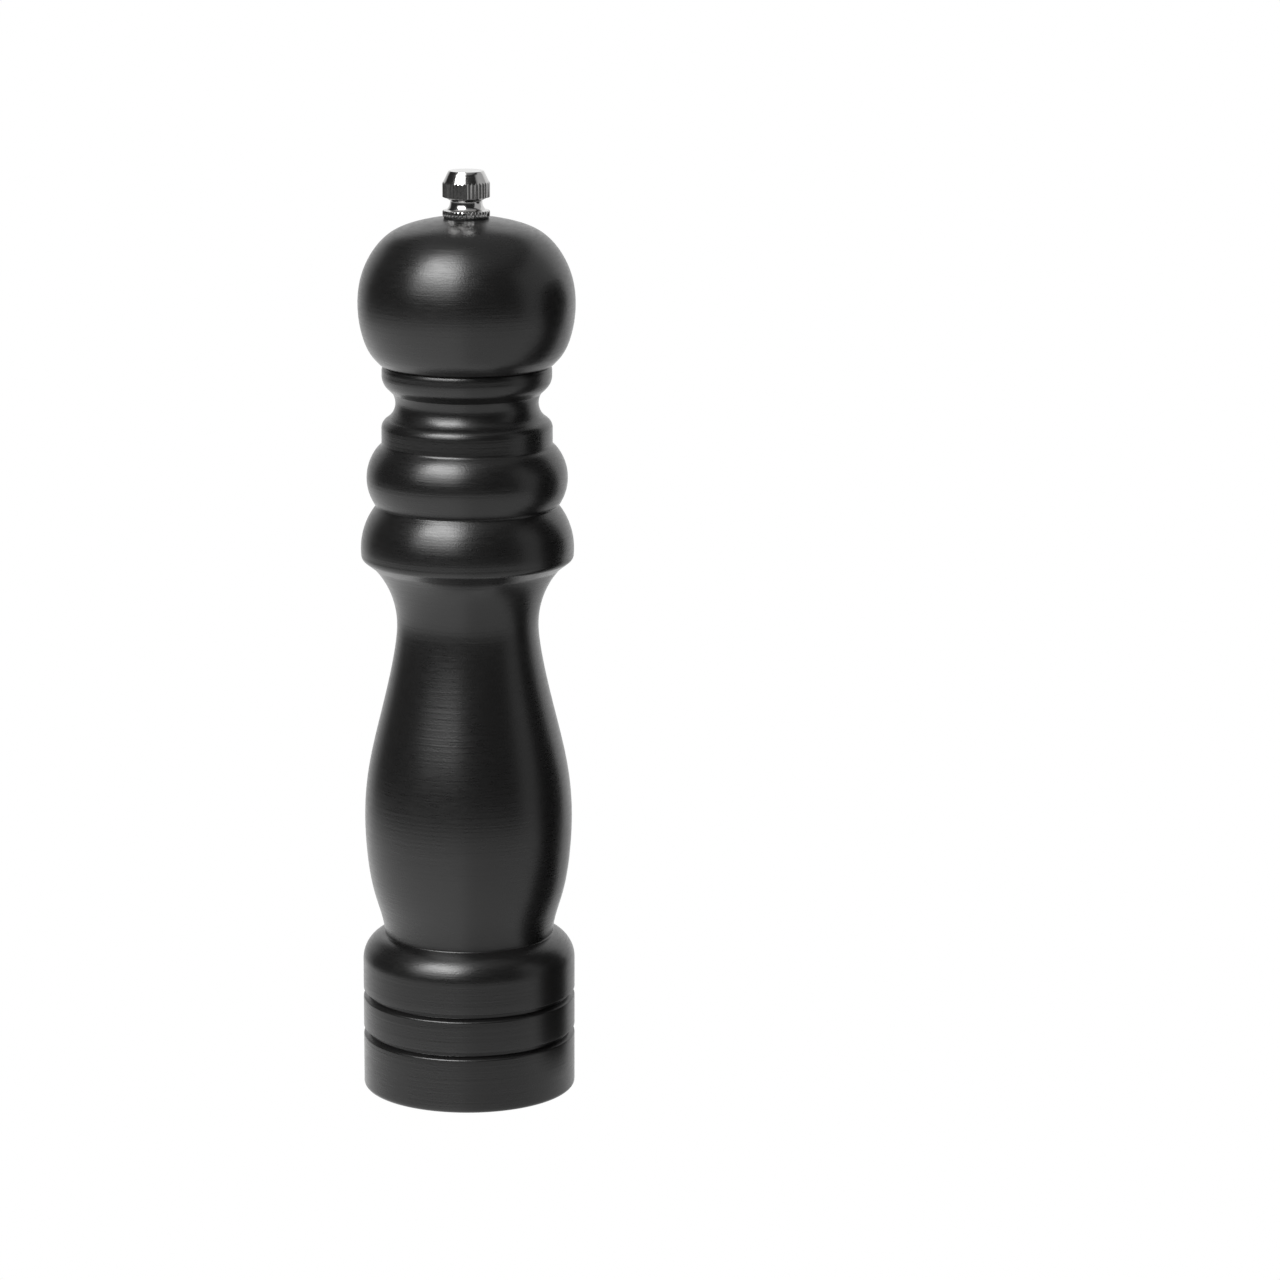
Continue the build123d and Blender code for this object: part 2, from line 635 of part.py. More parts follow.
def make_rotor_screw():
    """Machine screw, head down, that holds the rotor on the shaft."""
    head_low_z = ROTOR_WASHER_LOW_Z - SCREW_HEAD_H
    head = disc(SCREW_HEAD_R, head_low_z, ROTOR_WASHER_LOW_Z)
    head = fillet(head.faces().sort_by(Axis.Z)[0].edges(), ROTOR_SCREW_EDGE_R)
    recess = cross_recess(*ROTOR_SCREW_RECESS)
    shank_top_z = ROTOR_WASHER_LOW_Z + ROTOR_SCREW_LENGTH
    shank = disc(ROTOR_SCREW_R, ROTOR_WASHER_LOW_Z, shank_top_z)
    return head + shank - Pos(0, 0, head_low_z) * recess


def make_spring_cup():
    """Steel cup that spreads the spring's load on the ceramic."""
    outline = [
        (HEAD_BORE_R, ROTOR_TOP_Z),
        (CUP_R, ROTOR_TOP_Z),
        (CUP_R, ROTOR_TOP_Z + CUP_RIM_H),
        (CUP_R - CUP_RIM_T, ROTOR_TOP_Z + CUP_RIM_H),
        (CUP_R - CUP_RIM_T, SPRING_LOW_Z),
        (HEAD_BORE_R, SPRING_LOW_Z),
    ]
    return turned_polygon(outline)


# ---- bush, washer, clip and spring, which turn with the shaft at one height ----------------------
def make_shaft_bush():
    """Nylon bush: square inside, round outside, with a flange below for the spring."""
    bush = disc(BUSH_R, SPRING_TOP_Z, BUSH_TOP_Z)
    bush += disc(BUSH_FLANGE_R, SPRING_TOP_Z, BUSH_FLANGE_TOP_Z)
    groove_low_z = BRIDGE_TOP_Z + SLIP_GAP
    groove_r = BUSH_R - CLIP_GROOVE_DEPTH
    bush -= ring(BUSH_R + 1, groove_r, groove_low_z, groove_low_z + CLIP_T)
    side = SHAFT_SIDE + SQUARE_GAP
    return bush - square_bar(side, SPRING_TOP_Z, BUSH_TOP_Z, SHAFT_EDGE)


def make_bush_clip():
    """Spring-steel clip above the bridge, open on one side."""
    low_z = BRIDGE_TOP_Z + SLIP_GAP
    clip = ring(BUSH_R + CLIP_OVERHANG, BUSH_R - CLIP_GROOVE_DEPTH, low_z, low_z + CLIP_T)
    gap = Pos(BUSH_R, 0, low_z + CLIP_T / 2) * Box(CLIP_GAP_W, CLIP_GAP_W, 2 * CLIP_T)
    return clip - gap


def make_thrust_washer():
    return ring(BUSH_FLANGE_R, BUSH_R + SLIP_GAP, BUSH_FLANGE_TOP_Z, BRIDGE_BOSS_LOW_Z)


def make_spring():
    """Compression spring between the bush flange and the cup."""
    rise = SPRING_TOP_Z - SPRING_LOW_Z - 2 * SPRING_WIRE_R
    path = Helix(rise / SPRING_TURNS, rise, SPRING_MEAN_R, center=(0, 0, SPRING_LOW_Z + SPRING_WIRE_R))
    wire = Plane(origin=path @ 0, z_dir=path % 0) * Circle(SPRING_WIRE_R)
    return sweep(wire, path, is_frenet=True)


# ---- one file per piece -------------------------------------------------------------------------
MAKERS = {
    "body": make_body,
    "head": make_head,
    "head_bush": make_head_bush,
    "drive_plate": make_drive_plate,
    "drive_plate_screws": make_drive_plate_screws,
    "finial_nut": make_finial_nut,
    "nut_washer": make_nut_washer,
    "shaft": make_shaft,
    "mechanism_housing": make_mechanism_housing,
    "bridge": make_bridge,
    "base_plate": make_base_plate,
    "housing_screws": make_housing_screws,
    "stator_burr": make_stator_burr,
    "rotor_burr": make_rotor_burr,
    "rotor_carrier": make_rotor_carrier,
    "rotor_washer": make_rotor_washer,
    "rotor_screw": make_rotor_screw,
    "spring_cup": make_spring_cup,
    "shaft_bush": make_shaft_bush,
    "bush_clip": make_bush_clip,
    "thrust_washer": make_thrust_washer,
    "spring": make_spring,
}

os.makedirs("parts", exist_ok=True)
for node, make in MAKERS.items():
    export_step(make(), os.path.join("parts", node + ".step"))
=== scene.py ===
import json
import math

import bmesh
import bpy
import numpy as np
from mathutils import Matrix, Vector


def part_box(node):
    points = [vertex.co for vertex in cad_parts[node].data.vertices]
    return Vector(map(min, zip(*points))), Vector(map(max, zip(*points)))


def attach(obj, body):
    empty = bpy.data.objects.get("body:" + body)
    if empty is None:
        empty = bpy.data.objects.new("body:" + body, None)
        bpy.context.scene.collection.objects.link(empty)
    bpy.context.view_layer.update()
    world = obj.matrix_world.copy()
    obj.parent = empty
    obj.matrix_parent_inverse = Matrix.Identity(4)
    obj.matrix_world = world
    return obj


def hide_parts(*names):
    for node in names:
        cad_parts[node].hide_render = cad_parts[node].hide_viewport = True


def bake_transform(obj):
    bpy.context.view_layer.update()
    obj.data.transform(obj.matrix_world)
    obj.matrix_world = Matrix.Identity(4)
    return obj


# Pepper mill of black lacquered wood with a knurled steel nut, in a pale studio.
# Outlines are (radius, height) points in millimetres and angles are degrees.
# Meshes and materials are in metres.

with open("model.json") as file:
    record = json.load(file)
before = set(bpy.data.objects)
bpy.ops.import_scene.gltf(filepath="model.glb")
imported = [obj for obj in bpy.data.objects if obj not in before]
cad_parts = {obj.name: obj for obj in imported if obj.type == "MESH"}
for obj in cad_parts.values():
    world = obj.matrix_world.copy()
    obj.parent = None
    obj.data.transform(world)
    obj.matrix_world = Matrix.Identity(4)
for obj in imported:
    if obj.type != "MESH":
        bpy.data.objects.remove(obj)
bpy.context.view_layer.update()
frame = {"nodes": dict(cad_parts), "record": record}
nodes = frame["nodes"]
MM = 0.001

# ---- heights and radii that the frame gives, in millimetres --------------------------------------
BASE_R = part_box("body")[1].x / MM
SEAM_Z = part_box("body")[1].z / MM
HEAD_TOP_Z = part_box("head")[1].z / MM
TENON_LOW_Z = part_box("head")[0].z / MM
NUT_LOW_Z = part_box("finial_nut")[0].z / MM
NUT_TOP_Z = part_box("finial_nut")[1].z / MM
NUT_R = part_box("finial_nut")[1].x / MM
WASHER_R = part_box("nut_washer")[1].x / MM
SHAFT_LOW_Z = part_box("shaft")[0].z / MM
SHAFT_TOP_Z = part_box("shaft")[1].z / MM
SHAFT_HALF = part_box("shaft")[1].x / MM
SPRING_LOW_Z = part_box("spring")[0].z / MM
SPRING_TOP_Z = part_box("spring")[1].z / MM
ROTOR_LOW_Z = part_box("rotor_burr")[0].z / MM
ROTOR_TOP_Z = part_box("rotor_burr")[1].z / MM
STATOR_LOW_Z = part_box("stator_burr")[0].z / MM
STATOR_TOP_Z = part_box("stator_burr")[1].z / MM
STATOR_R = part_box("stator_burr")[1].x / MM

# ---- body outline --------------------------------------------------------------------------------
CHAMBER_R = 14.0
BARREL_BORE_R = 16.1
BARREL_BORE_TOP_Z = 40.0
RECESS_R = 22.0
RECESS_DEPTH = 10.0
BASE_EDGE_R = 1.3
GROOVE_TOPS = (28.7, 17.7)
GROOVE_H = 2.2
GROOVE_DEPTH = 1.5
GROOVE_WALL_H = 1.4
GROOVE_EDGE_R = 0.15
GROOVE_LIP_R = 0.6
GROOVE_SEAT_R = 0.15
GROOVE_CORNER_R = 0.08
SHOULDER_Z = 37.2
SHOULDER_R = 8.0
VASE = [
    (23.75, 45.0),
    (24.45, 49.0),
    (26.55, 56.2),
    (28.80, 70.0),
    (29.18, 80.0),
    (28.30, 91.0),
    (24.41, 108.9),
    (21.60, 121.0),
    (20.20, 129.0),
    (19.80, 134.0),
]
VASE_START = (0.13, 1)
FLARE_R = 24.2
FLARE_RISE = 16.4
COLLAR_LIP = (28.9, 152.45)
COLLAR_LIP_MID = (29.5, 153.2)
COLLAR_LIP_TOP_Z = 154.1
COLLAR_ARC_R = 19.0
COLLAR_MAX = (29.74, 155.7)
BEAD_ARC_R = 13.0
BEAD_CENTRE = (15.0, 175.65)
BEAD_NECK_Z = 168.35
BEAD_SHOULDER_DEG = 35.0
BEAD_SHOULDER_R = 9.0
COLLAR_TOP_Z = 167.8
BAND_R = 23.78
BAND_EDGE_R = 2.9
COVE_LOW = (22.2, 192.3)
COVE_MID = (19.90, 196.3)
COVE_HIGH = (20.66, 199.5)
RING_LOW = (22.0, 200.8)
RING_LOW_MID = (23.25, 202.55)
RING_R = 23.63
RING_FLAT_Z = 204.7
RING_EDGE_R = 2.2
RING_EDGE_DEG = 38.0
MOUTH_EDGE_R = 0.8
QUIRK_FILLET = 0.4
NECK_FILLET = 0.35
CREASE_FILLET = 1.1
BEAD_FOOT_FILLET = 0.15
RING_TOP_FILLET = 0.15
BORE_FILLET = 0.2
BORE_SPACING = 12.0

# ---- head outline --------------------------------------------------------------------------------
HEAD_RIM_R = 23.7
HEAD_EDGE_R = 2.5
BALL = [
    (7.0, 248.1),
    (13.3, 246.95),
    (20.8, 244.0),
    (26.5, 237.9),
    (29.6, 230.0),
    (30.12, 224.0),
    (29.04, 216.1),
    (26.2, 209.9),
    (HEAD_RIM_R, 207.2),
]
BALL_START = (1, -0.1)
BALL_END = (-1, -1.1)
BALL_SPACING = 0.6
HEAD_UNDERSIDE_R = HEAD_RIM_R - 1.5
TENON_R = 13.7
TENON_ROOT_FILLET = 0.2
TENON_EDGE_R = 0.6
HEAD_BORE_R = 4.4
HEAD_BORE_EDGE_R = 0.3

# Steps round a turned piece, and how far a line's extra points stand from its ends.
SEGMENTS = 192
GUARD = 0.12


# ---- outlines ------------------------------------------------------------------------------------
def on_circle(centre, radius, angle_deg):
    angle = math.radians(angle_deg)
    return centre[0] + radius * math.cos(angle), centre[1] + radius * math.sin(angle)


def straight(start, end, spacing=2.5):
    """Points along a line, with one more just inside each end so that shading stays flat up to it."""
    start, end = np.array(start, float), np.array(end, float)
    length = np.linalg.norm(end - start)
    inner = []
    if length > 3 * GUARD:
        inner = np.linspace(GUARD, length - GUARD, max(2, int(length / spacing) + 1))
    return [tuple(start + (end - start) * along / length) for along in (0, *inner, length)]


def circle_arc(centre, radius, start_deg, end_deg, step_deg=4.0):
    count = max(2, math.ceil(abs(end_deg - start_deg) / step_deg))
    angles = np.radians(np.linspace(start_deg, end_deg, count + 1))
    return [(centre[0] + radius * math.cos(a), centre[1] + radius * math.sin(a)) for a in angles]


def arc_through(start, middle, end, step_deg=6.0):
    """Arc through three points."""
    a, b, c = (np.array(p, float) for p in (start, middle, end))
    sides = np.array([b - a, c - a])
    centre = a + np.linalg.solve(sides, 0.5 * (sides**2).sum(1))
    first, mid, last = (math.degrees(math.atan2(*(p - centre)[::-1])) for p in (a, b, c))
    sweep = (last - first) % 360
    if (mid - first) % 360 > sweep:
        sweep -= 360
    return circle_arc(centre, np.linalg.norm(a - centre), first, first + sweep, step_deg)


def smooth_curve(points, start_tangent, end_tangent, spacing=1.0):
    """Cubic spline through the points, with a given direction at each end."""
    p = np.array(points, float)
    h = np.linalg.norm(np.diff(p, axis=0), axis=1)
    n = len(p)
    system = np.zeros((n, n))
    right = np.zeros((n, 2))
    system[0, 0] = system[-1, -1] = 1
    right[0] = np.array(start_tangent) / np.linalg.norm(start_tangent)
    right[-1] = np.array(end_tangent) / np.linalg.norm(end_tangent)
    for i in range(1, n - 1):
        system[i, i - 1 : i + 2] = h[i], 2 * (h[i - 1] + h[i]), h[i - 1]
        right[i] = 3 * (h[i] * (p[i] - p[i - 1]) / h[i - 1] + h[i - 1] * (p[i + 1] - p[i]) / h[i])
    slopes = np.linalg.solve(system, right)
    made = []
    for i in range(n - 1):
        for t in np.linspace(0, 1, max(2, math.ceil(h[i] / spacing)), endpoint=False):
            made.append(
                (2 * t**3 - 3 * t**2 + 1) * p[i]
                + (t**3 - 2 * t**2 + t) * h[i] * slopes[i]
                + (3 * t**2 - 2 * t**3) * p[i + 1]
                + (t**3 - t**2) * h[i] * slopes[i + 1]
            )
    return [tuple(q) for q in made] + [tuple(p[-1])]


def cut_back(run, length):
    """The run shortened by a length at its end, and the direction it has there."""
    run = [np.array(q, float) for q in run]
    while len(run) > 2 and np.linalg.norm(run[-1] - run[-2]) <= length:
        length -= np.linalg.norm(run[-1] - run[-2])
        run.pop()
    step = run[-1] - run[-2]
    size = np.linalg.norm(step)
    run[-1] = run[-1] - step * min(length / size, 0.98)
    return run, step / size


def joined(*pieces):
    """Runs of points joined end to end. A number between two runs rounds their corner to that radius."""
    outline = [np.array(q, float) for q in pieces[0]]
    radius = 0.0
    for piece in pieces[1:]:
        if isinstance(piece, (int, float)):
            radius = piece
            continue
        run = [np.array(q, float) for q in piece]
        if radius:
            leave = outline[-1] - outline[-2]
            enter = run[1] - run[0]
            cosine = np.dot(leave, enter) / np.linalg.norm(leave) / np.linalg.norm(enter)
            turn = math.acos(max(-1.0, min(1.0, cosine)))
            trim = radius * math.tan(turn / 2)
            outline, leave = cut_back(outline, trim)
            run, enter = cut_back(run[::-1], trim)
            run, enter = run[::-1], -enter
            reach = 4 / 3 * math.tan(turn / 4) * radius
            a, d = outline[-1], run[0]
            b, c = a + leave * reach, d - enter * reach
            for t in np.linspace(0, 1, max(4, math.ceil(math.degrees(turn) / 7)) + 1)[1:-1]:
                u = 1 - t
                outline.append(u**3 * a + 3 * u * u * t * b + 3 * u * t * t * c + t**3 * d)
            outline += run
        else:
            outline += run[1:]
        radius = 0.0
    return [tuple(q) for q in outline]


def body_outside():
    """From the foot's inner edge, up the outside and over the ring to the mouth of the chamber."""
    deep = BASE_R - GROOVE_DEPTH
    runs = [straight((RECESS_R, 0), (BASE_R, 0)), BASE_EDGE_R]
    below = 0.0
    for top in sorted(GROOVE_TOPS):
        lip, seat = top - GROOVE_H, top - GROOVE_WALL_H
        runs += [straight((BASE_R, below), (BASE_R, lip)), GROOVE_LIP_R]
        runs += [straight((BASE_R, lip), (deep, seat)), GROOVE_SEAT_R]
        runs += [straight((deep, seat), (deep, top)), GROOVE_CORNER_R]
        runs += [straight((deep, top), (BASE_R, top)), GROOVE_EDGE_R]
        below = top
    shoulder_centre = (BASE_R - SHOULDER_R, SHOULDER_Z)
    quirk_deg = math.degrees(math.atan2(VASE[0][1] - SHOULDER_Z, VASE[0][0] - shoulder_centre[0]))
    flare_centre = (VASE[-1][0] + FLARE_R, VASE[-1][1])
    flare_deg = 180 - math.degrees(math.asin(FLARE_RISE / FLARE_R))
    flare = circle_arc(flare_centre, FLARE_R, 180, flare_deg, 2.5)
    collar_centre = (COLLAR_MAX[0] - COLLAR_ARC_R, COLLAR_MAX[1])

    def degrees_at(centre, radius, height):
        return math.degrees(math.asin((height - centre[1]) / radius))

    collar = circle_arc(
        collar_centre,
        COLLAR_ARC_R,
        degrees_at(collar_centre, COLLAR_ARC_R, COLLAR_LIP_TOP_Z),
        degrees_at(collar_centre, COLLAR_ARC_R, COLLAR_TOP_Z),
        2.5,
    )
    bead_low_deg = degrees_at(BEAD_CENTRE, BEAD_ARC_R, BEAD_NECK_Z)
    bead = circle_arc(BEAD_CENTRE, BEAD_ARC_R, bead_low_deg, BEAD_SHOULDER_DEG, 3)
    top_centre = on_circle(BEAD_CENTRE, BEAD_ARC_R - BEAD_SHOULDER_R, BEAD_SHOULDER_DEG)
    bead_top_deg = math.degrees(math.acos((BAND_R - top_centre[0]) / BEAD_SHOULDER_R))
    bead_top = circle_arc(top_centre, BEAD_SHOULDER_R, BEAD_SHOULDER_DEG, bead_top_deg, 3)
    neck_top = (collar[-1][0], BEAD_NECK_Z)
    cove = arc_through(COVE_LOW, COVE_MID, COVE_HIGH, 2.5)
    cove_slope = (cove[1][1] - cove[0][1]) / (cove[1][0] - cove[0][0])
    band_top = (BAND_R, COVE_LOW[1] + cove_slope * (BAND_R - COVE_LOW[0]))
    ring_rise = RING_EDGE_R * math.sin(math.radians(RING_EDGE_DEG))
    ring_edge = circle_arc((RING_R - RING_EDGE_R, SEAM_Z - ring_rise), RING_EDGE_R, 0, RING_EDGE_DEG)
    runs += [
        straight((BASE_R, below), (BASE_R, SHOULDER_Z)),
        circle_arc(shoulder_centre, SHOULDER_R, 0, quirk_deg),
        QUIRK_FILLET,
        smooth_curve(VASE, VASE_START, (0, 1)),
        flare,
        straight(flare[-1], COLLAR_LIP),
        arc_through(COLLAR_LIP, COLLAR_LIP_MID, collar[0]),
        collar,
        NECK_FILLET,
        straight(collar[-1], neck_top),
        straight(neck_top, bead[0]),
        BEAD_FOOT_FILLET,
        bead,
        bead_top,
        CREASE_FILLET,
        straight(bead_top[-1], band_top),
        BAND_EDGE_R,
        straight(band_top, COVE_LOW),
        cove,
        straight(COVE_HIGH, RING_LOW),
        arc_through(RING_LOW, RING_LOW_MID, (RING_R, RING_FLAT_Z)),
        straight((RING_R, RING_FLAT_Z), ring_edge[0]),
        ring_edge,
        RING_TOP_FILLET,
        straight(ring_edge[-1], (CHAMBER_R + MOUTH_EDGE_R, SEAM_Z)),
    ]
    return joined(*runs)


def body_inside():
    """From the mouth of the chamber down the bores to the foot's inner edge."""
    mouth = circle_arc((CHAMBER_R + MOUTH_EDGE_R, SEAM_Z - MOUTH_EDGE_R), MOUTH_EDGE_R, 90, 180, 9)
    return joined(
        mouth,
        straight(mouth[-1], (CHAMBER_R, BARREL_BORE_TOP_Z), BORE_SPACING),
        BORE_FILLET,
        straight((CHAMBER_R, BARREL_BORE_TOP_Z), (BARREL_BORE_R, BARREL_BORE_TOP_Z)),
        straight((BARREL_BORE_R, BARREL_BORE_TOP_Z), (BARREL_BORE_R, RECESS_DEPTH), BORE_SPACING),
        BORE_FILLET,
        straight((BARREL_BORE_R, RECESS_DEPTH), (RECESS_R, RECESS_DEPTH)),
        straight((RECESS_R, RECESS_DEPTH), (RECESS_R, 0)),
    )


def head_outside():
    """From the nut's seat over the ball to the rim."""
    return joined(
        straight((HEAD_BORE_R, HEAD_TOP_Z), BALL[0]),
        smooth_curve(BALL, BALL_START, BALL_END, BALL_SPACING),
        HEAD_EDGE_R,
        straight(BALL[-1], (HEAD_UNDERSIDE_R, SEAM_Z)),
    )


def head_inside():
    """From the rim over the tenon and up the bore."""
    return joined(
        straight((HEAD_UNDERSIDE_R, SEAM_Z), (TENON_R, SEAM_Z)),
        TENON_ROOT_FILLET,
        straight((TENON_R, SEAM_Z), (TENON_R, TENON_LOW_Z)),
        TENON_EDGE_R,
        straight((TENON_R, TENON_LOW_Z), (HEAD_BORE_R, TENON_LOW_Z)),
        HEAD_BORE_EDGE_R,
        straight((HEAD_BORE_R, TENON_LOW_Z), (HEAD_BORE_R, HEAD_TOP_Z), BORE_SPACING),
    )


# ---- meshes --------------------------------------------------------------------------------------
# Points nearer than this, in metres, are one point.
SAME_POINT = 1e-7


def grid_mesh(name, columns, closed_outline, materials, material_rows=None, sharp_deg=35.0):
    """A mesh from columns of points round an axis. columns[j][i] is point i of the outline at angle j.
    material_rows gives, for each material after the first, the outline row where it starts."""
    count, rows = len(columns), len(columns[0])
    points = np.array(columns, float).reshape(-1, 3) * MM
    faces = []
    slots = []
    for i in range(rows if closed_outline else rows - 1):
        after = (i + 1) % rows
        slot = sum(i >= start for start in material_rows or [])
        for j in range(count):
            beside = (j + 1) % count
            faces.append((j * rows + i, j * rows + after, beside * rows + after, beside * rows + i))
            slots.append(slot)
    mesh = bpy.data.meshes.new(name)
    mesh.from_pydata(points.tolist(), [], faces)
    mesh.polygons.foreach_set("material_index", slots)
    for material in materials:
        mesh.materials.append(material)
    mesh.update()
    return finished(name, mesh, sharp_deg)


def finished(name, mesh, sharp_deg=35.0):
    """An object from a mesh: doubles joined, faces turned outwards, smooth except at sharp edges."""
    made = bpy.data.objects.new(name, mesh)
    bpy.context.scene.collection.objects.link(made)
    work = bmesh.new()
    work.from_mesh(mesh)
    bmesh.ops.remove_doubles(work, verts=work.verts, dist=SAME_POINT)
    bmesh.ops.dissolve_degenerate(work, dist=SAME_POINT, edges=work.edges)
    bmesh.ops.recalc_face_normals(work, faces=work.faces)
    work.to_mesh(mesh)
    work.free()
    mesh.shade_smooth()
    mesh.set_sharp_from_angle(angle=math.radians(sharp_deg))
    return made


def around(radius, angle, height):
    return radius * math.cos(angle), radius * math.sin(angle), height


def lathe(name, outline, materials, material_rows=None, segments=SEGMENTS, sharp_deg=35.0):
    """The closed outline turned about the axis."""
    angles = [2 * math.pi * j / segments for j in range(segments)]
    columns = [[around(r, a, z) for r, z in outline] for a in angles]
    return grid_mesh(name, columns, True, materials, material_rows, sharp_deg)


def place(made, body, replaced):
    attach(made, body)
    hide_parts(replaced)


# ---- material nodes ------------------------------------------------------------------------------
def add_node(tree, kind, inputs=None, **settings):
    """A shader node, with its settings and its inputs given as sockets or plain values."""
    made = tree.nodes.new("ShaderNode" + kind)
    for key, value in settings.items():
        setattr(made, key, value)
    for key, value in (inputs or {}).items():
        if isinstance(value, bpy.types.NodeSocket):
            tree.links.new(value, made.inputs[key])
        else:
            made.inputs[key].default_value = value
    return made


def new_material(name):
    """An empty material, its node tree and its Principled shader."""
    made = bpy.data.materials.new(name)
    made.use_nodes = True
    tree = made.node_tree
    return made, tree, tree.nodes["Principled BSDF"]


def stretched(tree, x, y, z):
    """The object's own coordinates, counted in features per metre along each axis."""
    where = add_node(tree, "TexCoord").outputs["Object"]
    return add_node(tree, "VectorMath", {0: where, 1: (x, y, z)}, operation="MULTIPLY").outputs[0]


def noise(tree, where, detail=2.0, roughness=0.5):
    made = add_node(
        tree, "TexNoise", {"Vector": where, "Scale": 1.0, "Detail": detail, "Roughness": roughness}
    )
    return made.outputs["Fac"]


def between(tree, value, low, high, to_low=0.0, to_high=1.0):
    """The value rescaled from low..high to to_low..to_high, and held there."""
    made = add_node(
        tree,
        "MapRange",
        {"Value": value, "From Min": low, "From Max": high, "To Min": to_low, "To Max": to_high},
        interpolation_type="SMOOTHSTEP",
    )
    return made.outputs["Result"]


def calculated(tree, operation, *values):
    """The result of one step of arithmetic on sockets or plain values."""
    return add_node(tree, "Math", dict(enumerate(values)), operation=operation).outputs[0]


def bump(tree, height, distance_mm, below=None):
    """A normal raised by height times a distance, on top of another normal."""
    inputs = {"Height": height, "Distance": distance_mm * MM, "Strength": 1.0}
    if below is not None:
        inputs["Normal"] = below
    return add_node(tree, "Bump", inputs).outputs["Normal"]


def blended(tree, factor, first, second):
    """A colour between two, each given as a socket or as red, green and blue."""
    ends = [value if isinstance(value, bpy.types.NodeSocket) else (*value, 1) for value in (first, second)]
    return add_node(tree, "Mix", {0: factor, 6: ends[0], 7: ends[1]}, data_type="RGBA").outputs[2]


def sparse_spots(tree, where, share, radius):
    """1 inside a round spot in a few of the cells of a pattern, and 0 elsewhere."""
    cells = add_node(tree, "TexVoronoi", {"Vector": where, "Scale": 1.0, "Randomness": 1.0})
    pick = add_node(tree, "SeparateColor", {0: cells.outputs["Color"]}).outputs[0]
    chosen = between(tree, pick, 1 - share, 1 - share + 0.01)
    inside = between(tree, cells.outputs["Distance"], radius, 0.3 * radius)
    return calculated(tree, "MULTIPLY", chosen, inside)


def finish(tree, shader, colour=None, roughness=None, normal=None):
    """Join the given sockets to the shader."""
    for key, socket in (("Base Color", colour), ("Roughness", roughness), ("Normal", normal)):
        if socket is not None:
            tree.links.new(socket, shader.inputs[key])


def black_lacquer():
    """Satin black lacquer on turned wood: faint turning rings, grain, pores and a few specks of dust."""
    made, tree, shader = new_material("black_lacquer")
    shader.inputs["IOR"].default_value = 1.5
    rings = noise(tree, stretched(tree, 12, 12, 1300), 2.0, 0.6)
    fine_rings = noise(tree, stretched(tree, 40, 40, 3600), 1.0)
    orange_peel = noise(tree, stretched(tree, 2200, 2200, 1900), 1.0)
    pores = sparse_spots(tree, stretched(tree, 1500, 1500, 260), 0.06, 0.22)
    dust = sparse_spots(tree, stretched(tree, 150, 150, 150), 0.05, 0.03)
    normal = bump(tree, rings, 0.03)
    normal = bump(tree, fine_rings, 0.012, normal)
    normal = bump(tree, orange_peel, 0.024, normal)
    normal = bump(tree, pores, -0.012, normal)
    normal = bump(tree, dust, 0.04, normal)
    patches = noise(tree, stretched(tree, 60, 60, 25), 3.0)
    colour = blended(tree, patches, (0.0045, 0.0045, 0.0046), (0.0066, 0.0064, 0.0062))
    streaks = noise(tree, stretched(tree, 260, 260, 2600), 2.0, 0.6)
    broad = between(tree, patches, 0.2, 0.8, 0.255, 0.29)
    fine = between(tree, streaks, 0.3, 0.7, 0, 0.06)
    finish(tree, shader, colour, calculated(tree, "ADD", broad, fine), normal)
    return made


def bare_wood():
    """Unfinished beech inside the bores: straight grain along the axis, small dark flecks."""
    made, tree, shader = new_material("bare_wood")
    grain = noise(tree, stretched(tree, 260, 260, 12), 6.0, 0.6)
    flecks = sparse_spots(tree, stretched(tree, 1600, 1600, 420), 0.3, 0.3)
    colour = blended(tree, between(tree, grain, 0.3, 0.7), (0.52, 0.33, 0.19), (0.66, 0.47, 0.30))
    colour = blended(tree, flecks, colour, (0.30, 0.17, 0.09))
    normal = bump(tree, grain, 0.02)
    normal = bump(tree, noise(tree, stretched(tree, 30, 30, 2200), 1.0), 0.01, normal)
    finish(tree, shader, colour, between(tree, grain, 0.3, 0.7, 0.62, 0.78), normal)
    return made


def metal(name, colour, worn, roughness, grain, grain_mm, spread=0.06):
    """A metal whose fine marks follow grain, given in marks per metre along each axis."""
    made, tree, shader = new_material(name)
    shader.inputs["Metallic"].default_value = 1.0
    marks = noise(tree, stretched(tree, *grain), 3.0, 0.6)
    patches = noise(tree, stretched(tree, 220, 220, 220), 4.0)
    broad = between(tree, patches, 0.25, 0.75, roughness, roughness + spread)
    fine = between(tree, marks, 0.3, 0.7, 0, 0.5 * spread)
    tint = blended(tree, between(tree, patches, 0.3, 0.8), colour, worn)
    finish(tree, shader, tint, calculated(tree, "ADD", broad, fine), bump(tree, marks, grain_mm))
    return made


def moulded(name, colour, other, roughness, grain_mm=0.012, ior=1.5, sheen=0.0):
    """Plastic, fibre or ceramic with a fine even texture."""
    made, tree, shader = new_material(name)
    shader.inputs["IOR"].default_value = ior
    shader.inputs["Coat Weight"].default_value = sheen
    shader.inputs["Coat Roughness"].default_value = 0.12
    grain = noise(tree, stretched(tree, 3000, 3000, 3000), 2.0)
    patches = noise(tree, stretched(tree, 180, 180, 180), 4.0)
    tint = blended(tree, patches, colour, other)
    rough = between(tree, patches, 0.3, 0.7, roughness, roughness + 0.08)
    finish(tree, shader, tint, rough, bump(tree, grain, grain_mm))
    return made


